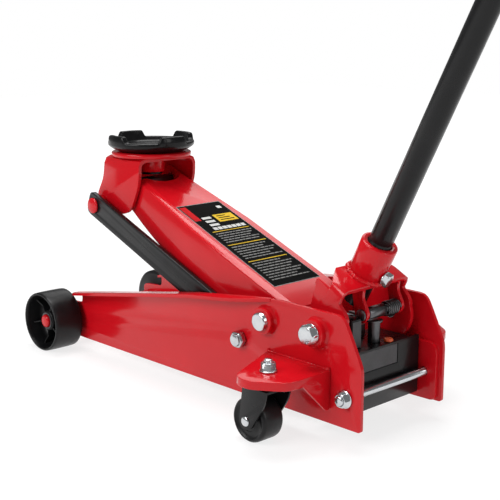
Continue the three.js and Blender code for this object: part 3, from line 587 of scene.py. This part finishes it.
def front_wheels():
    bore, hub, dish, rim = AXLE_R + GAP, 15, 42.6, 46.2
    tread_middle, tread_half = 114, 22.5
    steps = 6
    for word, side in SIDES.items():
        node = f"front_wheel_{word}"
        radius = size(node).z / 2 / MM
        inner, outer = cross_span(node)
        tread = [
            (radius - 0.5 * abs(i / steps) ** 3, tread_middle + tread_half * i / steps)
            for i in range(-steps, steps + 1)
        ]
        profile = [
            (bore, inner), (hub, inner), (hub + 1, inner + 1), (hub + 1, 88.4), (17, 89.2), (41, 89.2),
            (44.5, 90), *tread, (rim, 137.6), (rim - 1, outer), (dish + 0.8, outer), (dish, outer - 1),
            (dish - 0.8, outer - 5), (39.4, 118), (38, 112), (34, 109.4), (21, 109), (17.4, 110),
            (hub + 1.4, 113), (hub + 0.6, 124.5), (hub - 0.2, HUB_FACE), (bore + 0.8, HUB_FACE),
            (bore, HUB_FACE - 0.8),
        ]
        stands_for(cross_piece(node + "_finished", profile, node, side, 144), node)
        wheel_ribs(node, side)


def wheel_ribs(node, side):
    """Thin radial webs inside the dish, lower towards the hub."""
    at = middle(node)
    origin = Vector((at.x, 0, at.z))
    rib_count = 6
    half_foot, half_crest = 1.8, 1.08
    foot = 108
    crests = ((15.5, 124), (28, 121.5), (40.6, 127))
    for i in range(rib_count):
        angle = 2 * math.pi * (i + 0.25) / rib_count
        out = X * math.cos(angle) + Z * math.sin(angle)
        beside = out.cross(Y)
        rings = []
        for radius, crest in crests:
            section = ((half_foot, foot), (half_crest, crest), (-half_crest, crest), (-half_foot, foot))
            rings.append([
                origin + (out * radius + beside * width + Y * side * depth) * MM for width, depth in section
            ])
        rib = shown(f"{node}_rib_{i + 1}", *skin(rings), MATERIAL["black_plastic"])
        soften(rib, 0.0004)
        belongs(rib, node)


def caster_wheels():
    bore, pin, head, fork_out = 4.3, 4, 6.5, 22.3
    for word in SIDES:
        node = f"caster_wheel_{word}"
        radius = size(node).z / 2 / MM
        half = size(node).y / 2 / MM
        wheel = [
            (bore, half), (12, half), (13.2, half - 0.6), (14.4, half - 2.8), (22, half - 2.8),
            (23.8, half - 0.9), (25, half - 0.1), (26.8, half - 0.9), (radius - 0.6, half - 3),
            (radius, half - 5.5), (radius, 0.4),
        ]
        piece = turned(
            node + "_finished", mirrored(wheel), middle(node), Y, MATERIAL["black_plastic"], 96)
        stands_for(piece, node)
        axle = f"caster_axle_{word}"
        end = size(axle).y / 2 / MM
        rivet = [
            (0, end), (3, end - 0.15), (head - 1.1, end - 0.9), (head, end - 1.9), (head, fork_out),
            (pin, fork_out), (pin, 0.3),
        ]
        piece = turned(axle + "_finished", mirrored(rivet), middle(axle), Y, MATERIAL["zinc"], 48)
        stands_for(piece, axle)


# ---------------------------------------------------------------- saddle


def saddle():
    """The cup, whose rim has four square lugs, on its stem."""
    node = "saddle"
    centre = middle(node)
    origin = Vector((centre.x, centre.y, 0))
    radius = size(node).x / 2 / MM
    bottom, top = upright_span(node)
    stem = 12
    seat = SADDLE_PLATE_TOP + 0.4
    rim = top - 9.5
    lug_turn = math.radians(-6.3)
    lug_half = math.radians(20)
    lug_slope = math.radians(3.2)
    u, v = across(Z)
    offset = math.atan2(u.y, u.x)
    flip = 1 if u.cross(v).z > 0 else -1

    def raised(angle):
        """How far up a lug the rim is at this angle, from 0 to 1."""
        turn = flip * angle + offset - lug_turn
        from_lug = abs((turn + math.pi / 4) % (math.pi / 2) - math.pi / 4)
        t = min(1, max(0, (lug_half + lug_slope - from_lug) / (2 * lug_slope)))
        return t * t * (3 - 2 * t)

    def lifted(r_low, r_high, z_low, z_high):
        return lambda angle: (
            r_low + (r_high - r_low) * raised(angle),
            z_low + (z_high - z_low) * raised(angle),
        )

    profile = [
        (0, CUP_FLOOR), (38, CUP_FLOOR), (46, CUP_FLOOR + 0.6), (52, CUP_FLOOR + 2.2), (55, CUP_FLOOR + 4.6),
        lifted(56.2, 57.2, rim - 1.2, top - 2.6),
        lifted(57.2, 58.2, rim - 0.2, top - 0.6),
        lifted(58.4, 59.6, rim, top),
        lifted(63.6, 63.4, rim, top),
        lifted(65.2, 65.0, rim - 0.5, top - 0.7),
        lifted(radius, radius, rim - 1.9, top - 2.4),
        (radius, 330), (radius - 0.6, 328), (radius - 3, 325.6), (60, 323.5), (54, 320.6), (48, seat),
        (stem, seat), (stem, bottom + 1), (stem - 1, bottom), (0, bottom),
    ]
    stands_for(turned("saddle_finished", profile, origin, Z, MATERIAL["black_iron"], 240), node)


def saddle_plate():
    node = "saddle_plate"
    centre = middle(node)
    origin = Vector((centre.x, centre.y, 0))
    bottom, top = upright_span(node)
    radius = size(node).x / 2 / MM
    bore = 12.6
    profile = [
        (bore, bottom), (radius - 1, bottom), (radius, bottom + 1), (radius, top - 2.2),
        (radius - 0.6, top - 0.8), (radius - 2, top), (bore + 0.6, top), (bore, top - 0.6),
    ]
    stands_for(turned("saddle_plate_finished", profile, origin, Z, MATERIAL["red_paint"], 120), node)


# ---------------------------------------------------------------- handle

HANDLE_AXIS = Vector(JOINT["handle_twist"]["axis"]).normalized()
HANDLE_BASE = Vector(JOINT["handle_twist"]["pos_m"])
HANDLE_BACK = Y.cross(HANDLE_AXIS).normalized()


def along_handle(node):
    """Lowest and highest distance of a CAD node along the handle, in mm from the joint it twists on."""
    vertices = frame["nodes"][node].data.vertices
    heights = [(vertex.co - HANDLE_BASE).dot(HANDLE_AXIS) / MM for vertex in vertices]
    return min(heights), max(heights)


def on_handle(profile, node, segments=72):
    piece = turned(
        node + "_finished", profile, HANDLE_BASE, HANDLE_AXIS, MATERIAL[SLOT[node]], segments)
    stands_for(piece, node)


def handle():
    bottom, joint = along_handle("handle_lower")
    low, top = along_handle("handle_upper")
    driver, plug = 7, TUBE_BORE_R - GAP
    groove, groove_depth = 51.1, 0.5
    on_handle([
        (0, bottom), (driver - 1, bottom), (driver, bottom + 1), (driver, bottom + 6),
        (TUBE_R - 1, bottom + 6), (TUBE_R, bottom + 7), (TUBE_R, groove - 1.5),
        (TUBE_R - groove_depth, groove - 0.7), (TUBE_R - groove_depth, groove + 0.7), (TUBE_R, groove + 1.5),
        (TUBE_R, joint - 30), (TUBE_R, joint - 6), (TUBE_R, joint - 2.4), (TUBE_R - 0.6, joint - 0.6),
        (TUBE_R - 1.2, joint), (TUBE_BORE_R, joint), (TUBE_BORE_R, 0), (0, 0),
    ], "handle_lower")
    on_handle([
        (9.5, low), (plug, low), (plug, joint + GAP), (TUBE_R - 1.2, joint + 0.4), (TUBE_R, joint + 2),
        (TUBE_R, top), (TUBE_BORE_R, top), (TUBE_BORE_R, joint + 20), (9.5, joint + 15),
    ], "handle_upper")
    grip(plug, top)


def grip(plug, tube_top):
    """The ribbed foam grip and the cap in the tube's open end."""
    low, top = along_handle("handle_grip")
    valley, crest = 18.2, 19
    pitch = 6
    first = low + 14
    ridges = []
    for i in range(int((top - 14 - first) / pitch)):
        start = first + i * pitch
        ridges += [
            (valley, start), (crest - 0.1, start + 1.2), (crest, start + 2.6), (crest - 0.1, start + 4),
            (valley, start + 5.2),
        ]
    on_handle([
        (TUBE_R + GAP, low), (17.4, low), (18.6, low + 1), (crest, low + 3), (crest, low + 11),
        (valley, low + 13), *ridges, (valley, top - 12), (crest, top - 10), (crest, top - 2.4),
        (valley, top - 0.6), (17.4, top), (TUBE_R + GAP, top),
    ], "handle_grip", 96)
    low, top = along_handle("handle_cap")
    cap = 17.5
    on_handle([
        (0, low), (plug, low), (plug, tube_top + GAP), (cap - 0.5, tube_top + GAP), (cap, tube_top + 0.9),
        (cap, tube_top + 2.4), (16.6, tube_top + 4), (14.2, tube_top + 5.2), (8, tube_top + 5.8), (0, top),
    ], "handle_cap")


def sleeve():
    low, top = along_handle("handle_sleeve")
    on_handle([
        (SLEEVE_BORE_R, low), (SLEEVE_R - 0.4, low), (SLEEVE_R, low + 0.4), (SLEEVE_R, top - 1.8),
        (SLEEVE_R - 0.5, top - 0.6), (SLEEVE_R - 1.5, top), (SLEEVE_BORE_R + 1.2, top),
        (SLEEVE_BORE_R, top - 1.2),
    ], "handle_sleeve", 96)
    count = 150
    path = []
    for k in range(count):
        angle = 2 * math.pi * k / count
        around = Y * math.cos(angle) + HANDLE_BACK * math.sin(angle)
        out = SLEEVE_R + 0.4 + 0.5 * math.sin(5 * angle) + 0.3 * math.sin(11 * angle)
        path.append(HANDLE_BASE + around * out * MM + HANDLE_AXIS * 0.9 * MM)
    weld_bead("sleeve_weld", path, lambda _: 3.4 * MM, "handle_sleeve", closed=True)


def clamp_bolt():
    """The bolt that holds the handle in its sleeve, with its heights out from the handle's axis."""
    node = "clamp_bolt"
    from_base = middle(node) - HANDLE_BASE
    origin = HANDLE_BASE + HANDLE_AXIS * from_base.dot(HANDLE_AXIS)
    out = (middle(node) - origin).normalized()
    washer, shank = 9.6, 5
    low, seat, top, tip = SLEEVE_R + GAP, 26, 33, 15.9
    profile = [
        *hexagon(17, seat, top)[:-1], (washer - 0.2, seat), (washer, seat - 0.2), (washer, low + 0.2),
        (washer - 0.2, low), (shank, low), (shank, tip + 0.9), (shank - 1, tip), (0, tip),
    ]
    stands_for(turned("clamp_bolt_finished", profile, origin, out, MATERIAL["zinc"]), node)


# ---------------------------------------------------------------- pins and spring


def return_spring():
    node = "return_spring"
    low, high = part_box(node)
    wire = 1.1 * MM
    radius = size(node).x / 2 - wire
    centre = middle("roller_pin")
    turns = 6
    steps = 40
    path = []
    for k in range(turns * steps + 1):
        angle = 2 * math.pi * k / steps
        y = low.y + wire + (high.y - low.y - 2 * wire) * k / (turns * steps)
        path.append(Vector((
            centre.x + radius * math.cos(angle), y, centre.z - radius * math.sin(angle))))
    spring = swept("return_spring_finished", path, wire, MATERIAL["steel"])
    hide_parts(node)
    belongs(spring, node)


def plain_pins():
    """The round bars and bushes across the jack, with a chamfer at each end."""
    bores = {"arm_front_pin": 0, "pump_roller": 5.3, "axle_tube": AXLE_R + GAP}
    for node, bore in bores.items():
        radius = size(node).x / 2 / MM
        end = size(node).y / 2 / MM
        half = [(bore, end), (radius - 0.8, end), (radius, end - 0.8), (radius, 0.3)]
        stands_for(cross_piece(node + "_finished", mirrored(half), node, segments=64), node)


def roller_pin():
    node = "roller_pin"
    low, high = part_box(node)
    left, right = low.y / MM, high.y / MM
    head, shank = 7.5, 5
    end = [(head - 0.5, 0), (head, 0.5), (head, 2.4), (head - 0.3, 2.7), (shank, 2.7)]
    profile = [
        (0, left), *((r, left + h) for r, h in end), *((r, right - h) for r, h in reversed(end)), (0, right),
    ]
    stands_for(cross_piece("roller_pin_finished", profile, node), node)


def link_pins():
    shoulder, head = 14, 12
    for word, side in SIDES.items():
        node = f"link_pin_{word}"
        inner, outer = cross_span(node)
        profile = [
            (0, inner), (BOLT_R - 0.6, inner), (BOLT_R, inner + 0.6), (BOLT_R, BRACKET_OUT + GAP),
            (shoulder, BRACKET_OUT + GAP), (shoulder, LINK_IN - GAP), (BOLT_R, LINK_IN - GAP),
            (BOLT_R, LINK_OUT + GAP), (head, LINK_OUT + GAP), (head, outer - 1.8), (head - 0.5, outer - 0.8),
            (head - 1.6, outer - 0.2), (0, outer),
        ]
        stands_for(cross_piece(node + "_finished", profile, node, side), node)


# ---------------------------------------------------------------- label

ARM_PIVOT = Vector(JOINT["lift"]["pos_m"])
ARM_FRONT = Vector(JOINT["saddle_level"]["pos_m"])
ARM_ALONG = (ARM_FRONT - ARM_PIVOT).normalized()
ARM_OUT = Y.cross(ARM_ALONG).normalized() * (1 if Y.cross(ARM_ALONG).z > 0 else -1)


def slabs(boxes):
    """Vertices and faces of thin slabs, each given as four corners and a lift off its surface."""
    verts, faces = [], []
    for corners, lift in boxes:
        start = len(verts)
        verts += [*corners, *(corner + lift for corner in corners)]
        quads = ((3, 2, 1, 0), (4, 5, 6, 7), (0, 1, 5, 4), (1, 2, 6, 5), (2, 3, 7, 6), (3, 0, 4, 7))
        faces += [tuple(start + k for k in quad) for quad in quads]
    return verts, faces


def arm_label():
    """A printed label on the lift arm's top: a dark sheet with plain bars where a maker prints words."""
    arm_top = 24.5
    first, last = 31, 254
    rear_half, front_half = 47.5, 44
    right_margin = 6
    border, sheet, print_layer, overprint = (0, 0.18), (0.18, 0.25), (0.25, 0.31), (0.31, 0.35)
    black, white, gray, yellow, red = range(5)
    boxes, slots = [], []

    def mark(along, beside, ink, layer=print_layer):
        """A bar between two fractions of the label's length and two fractions of its width."""
        base, top = layer
        corners = []
        for i, j in ((0, 0), (1, 0), (1, 1), (0, 1)):
            half = rear_half + (front_half - rear_half) * along[i]
            s = first + (last - first) * along[i]
            y = half * (2 * beside[j] - 1) - right_margin * beside[j]
            corners.append(ARM_PIVOT + (ARM_ALONG * s + ARM_OUT * (arm_top + base) + Y * y) * MM)
        boxes.append((corners, ARM_OUT * (top - base) * MM))
        slots.extend([ink] * 6)

    def writing(row, rows, step, start, end, turn):
        """Rows of short gray bars, as long as words; another turn gives another run of lengths."""
        height, space = 0.009, 0.016
        shortest, growth = 0.04, 0.026
        indent = 0.10
        for line in range(rows):
            position = start
            word = turn
            reach = end - indent * ((line + turn) % 3)
            while position < reach:
                length = shortest + growth * ((2 * line + 3 * word) % 4)
                mark((row - height, row), (position, min(position + length, end)), gray)
                position += length + space
                word += 1
            row -= step

    mark((0, 1), (0, 1), gray, border)
    mark((0.006, 0.994), (0.012, 0.988), black, sheet)
    mark((0.80, 0.98), (0.03, 0.17), red)
    mark((0.915, 0.945), (0.80, 0.90), white)
    for i in range(3):
        mark((0.72 + 0.044 * i, 0.745 + 0.044 * i), (0.22, 0.42), white)
    mark((0.755, 0.845), (0.50, 0.93), yellow)
    for i in range(3):
        mark((0.772 + 0.024 * i, 0.782 + 0.024 * i), (0.56, 0.88 - 0.06 * i), black, overprint)
    for i in range(7):
        mark((0.672, 0.703), (0.20 + i * 0.105, 0.288 + i * 0.105), white)
    mark((0.650, 0.656), (0.10, 0.93), yellow)
    writing(0.630, 5, 0.026, 0.12, 0.92, 0)
    mark((0.482, 0.489), (0.08, 0.93), yellow)
    writing(0.462, 6, 0.027, 0.10, 0.92, 1)
    mark((0.280, 0.287), (0.08, 0.93), yellow)
    writing(0.262, 8, 0.027, 0.10, 0.92, 2)
    inks = (INK_BLACK, INK_WHITE, INK_GRAY, INK_YELLOW, INK_RED)
    label = shown("arm_label", *slabs(boxes), *inks, face_slots=slots)
    label.data.shade_flat()
    belongs(label, "lift_arm")


# ---------------------------------------------------------------- panels and welds


def block_panels():
    """The dull gray faces of the pump block's rear recess and of its check-valve housing."""
    recess_depth = 1.5
    lift_off = 0.02
    recess_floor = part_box("pump_block")[1].x - recess_depth * MM
    housing_rear = 70.5 * MM
    panels = {
        "block_panel": (recess_floor, (-65.6, 26.6), (82.4, 107.6), 0.7),
        "housing_end": (housing_rear, (-46.5, -30.5), (112, 146), 0.6),
    }
    for name, (x, (left, right), (low, high), thickness) in panels.items():
        corners = [
            Vector((x + lift_off * MM, y * MM, z * MM))
            for y, z in ((left, low), (right, low), (right, high), (left, high))
        ]
        panel = shown(name, *slabs([(corners, X * thickness * MM)]), RECESS_GRAY)
        belongs(soften(panel, 0.0002), "pump_block")


def bracket_welds():
    """Weld along each caster bracket where it meets its side plate, thickest at its two ends."""
    margin = 1 * MM
    count = 120

    def thickness(t):
        from_end = min(t, 1 - t) / 0.13
        return (1.2 + 1.7 * max(0, 1 - from_end)) * MM

    for word, side in SIDES.items():
        node = f"caster_bracket_{word}"
        low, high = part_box(node)
        length = high.x - low.x - 2 * margin
        y = side * (PLATE_OUT + 0.9) * MM
        z = high.z + 0.3 * MM
        path = [Vector((low.x + margin + length * k / count, y, z)) for k in range(count + 1)]
        weld_bead(f"{node}_weld", path, thickness, node)


# ---------------------------------------------------------------- the whole jack

# How far the edges of each piece that keeps its CAD shape are rounded, in mm.
EDGES_MM = {
    "side_plate_left": 0.9, "side_plate_right": 0.9, "lift_arm": 1.4,
    "saddle_bracket": 1.2, "handle_yoke": 1.4, "parallel_link_left": 0.9,
    "parallel_link_right": 0.9, "caster_bracket_left": 1.2, "caster_bracket_right": 1.2,
    "caster_fork_left": 0.7, "caster_fork_right": 0.7, "pump_block": 1.0,
    "ram_cylinder": 0.8, "oil_tank": 0.8, "ram": 0.6,
    "pull_link_left": 0.7, "pull_link_right": 0.7, "pump_plunger": 0.4,
    "release_valve": 0.5, "filler_plug": 0.8, "saddle_clip": 0.3,
}


def build():
    for node, width in EDGES_MM.items():
        refined(node, width * MM)
    lift_shaft()
    tie_rod()
    front_axle()
    link_bolts()
    yoke_bolts()
    kingpins()
    front_wheels()
    caster_wheels()
    saddle()
    saddle_plate()
    handle()
    sleeve()
    clamp_bolt()
    return_spring()
    plain_pins()
    roller_pin()
    link_pins()
    arm_label()
    block_panels()
    bracket_welds()


# ---------------------------------------------------------------- stage, light and camera


def floor():
    """A gray sheet that its own glow makes white, most of all far out, where it meets the background."""
    half = 6.0
    verts = [(-half, -half, 0), (half, -half, 0), (half, half, 0), (-half, half, 0)]
    ground = Shader("floor_paper", Roughness=0.85, Specular_IOR_Level=0.1)
    ground.color(ground.noise(3, 3), [(0.3, (0.23, 0.23, 0.23)), (0.7, (0.25, 0.25, 0.25))])
    ground.bump(ground.noise(240, 3), 0.03, 0.0005)
    distance = ground.node("ShaderNodeVectorMath", operation="LENGTH")
    ground.join(ground.place, distance.inputs[0])
    glow = ground.node("ShaderNodeMapRange")
    for socket, value in (("From Min", 0.8), ("From Max", 2.6), ("To Min", 0.78), ("To Max", 1.0)):
        glow.inputs[socket].default_value = value
    ground.join(distance.outputs["Value"], glow.inputs["Value"])
    ground.join(glow.outputs["Result"], ground.surface.inputs["Emission Strength"])
    ground.surface.inputs["Emission Color"].default_value = (1, 1, 1, 1)
    shown("floor", verts, [(0, 1, 2, 3)], ground.material)


def area_light(name, place, target, width, height, power):
    lamp = bpy.data.lights.new(name, "AREA")
    lamp.shape = "RECTANGLE"
    lamp.size = width
    lamp.size_y = height
    lamp.energy = power
    light = bpy.data.objects.new(name, lamp)
    light.location = place
    light.rotation_euler = (Vector(target) - Vector(place)).to_track_quat("-Z", "Y").to_euler()
    light.visible_camera = False
    bpy.context.scene.collection.objects.link(light)


def studio():
    """A dim room with soft boxes, in front of a background that the camera sees as plain white."""
    world = bpy.data.worlds.new("studio")
    world.use_nodes = True
    nodes, links = world.node_tree.nodes, world.node_tree.links
    room = nodes["Background"]
    room.inputs["Color"].default_value = (1, 1, 1, 1)
    room.inputs["Strength"].default_value = 0.22
    backdrop = nodes.new("ShaderNodeBackground")
    backdrop.inputs["Color"].default_value = (1, 1, 1, 1)
    rays = nodes.new("ShaderNodeLightPath")
    mix = nodes.new("ShaderNodeMixShader")
    links.new(rays.outputs["Is Camera Ray"], mix.inputs["Fac"])
    links.new(room.outputs["Background"], mix.inputs[1])
    links.new(backdrop.outputs["Background"], mix.inputs[2])
    links.new(mix.outputs["Shader"], nodes["World Output"].inputs["Surface"])
    bpy.context.scene.world = world
    aim = (-0.15, 0, 0.2)
    area_light("key", (-0.5, -2.1, 1.5), aim, 1.5, 1.1, 38)
    area_light("top", (-0.5, 0.2, 2.5), aim, 1.5, 1.1, 46)
    area_light("fill", (2.3, 0.3, 1.1), aim, 0.8, 1.2, 12)
    area_light("back", (-1.68, 1.6, 1.95), aim, 1.9, 1.1, 12)
    bpy.context.scene.view_settings.view_transform = "Standard"


def camera():
    place = Vector((0.8835, -0.9875, 0.5004))
    target = Vector((-0.1632, 0.0, 0.1953))
    lens = bpy.data.cameras.new("camera")
    lens.sensor_width = 36
    lens.lens = 74.9
    view = bpy.data.objects.new("camera", lens)
    view.location = place
    view.rotation_euler = (target - place).to_track_quat("-Z", "Y").to_euler()
    bpy.context.scene.collection.objects.link(view)
    bpy.context.scene.camera = view


build()
floor()
studio()
camera()

bpy.context.view_layer.update()
